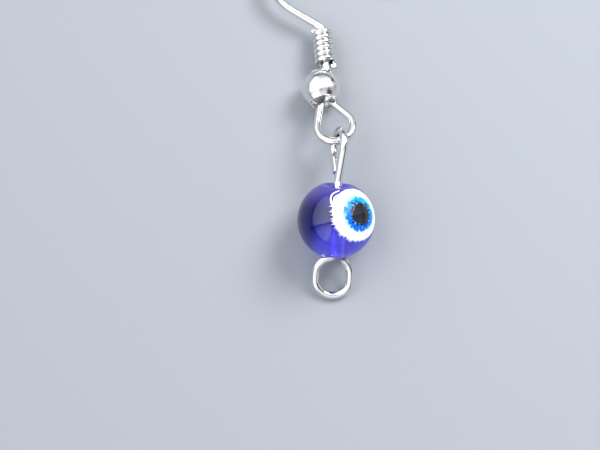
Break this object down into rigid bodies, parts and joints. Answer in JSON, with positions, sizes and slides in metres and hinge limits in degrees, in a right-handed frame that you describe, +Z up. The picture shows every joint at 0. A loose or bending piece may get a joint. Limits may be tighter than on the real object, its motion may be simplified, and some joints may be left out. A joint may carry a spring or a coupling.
{
  "type": "evil eye drop earring",
  "caption": "Ear-wire drop earring with a round glass bead that carries a printed eye, hung by a looped pin under a hollow ball and a wound coil.",
  "frame": {"origin": "middle of the whole earring's box in x and y, on the surface it lies on", "axes": "+Y runs along the earring towards the hook, +Z is up from the surface, and +X is to the right of someone who looks down on it with the hook away from them"},
  "size_m": [0.0144, 0.0418, 0.008],
  "materials": {
    "silver_wire": "polished",
    "cobalt_glass": "polished",
    "print_white": "gloss",
    "print_blue": "gloss",
    "print_black": "gloss"
  },
  "bodies": {
    "root": {"ear_wire": "silver_wire", "coil": "silver_wire", "hollow_ball": "silver_wire", "bead_pin": "silver_wire", "glass_bead": "cobalt_glass", "eye_white": "print_white", "eye_iris": "print_blue", "eye_pupil": "print_black"}
  },
  "joints": []
}
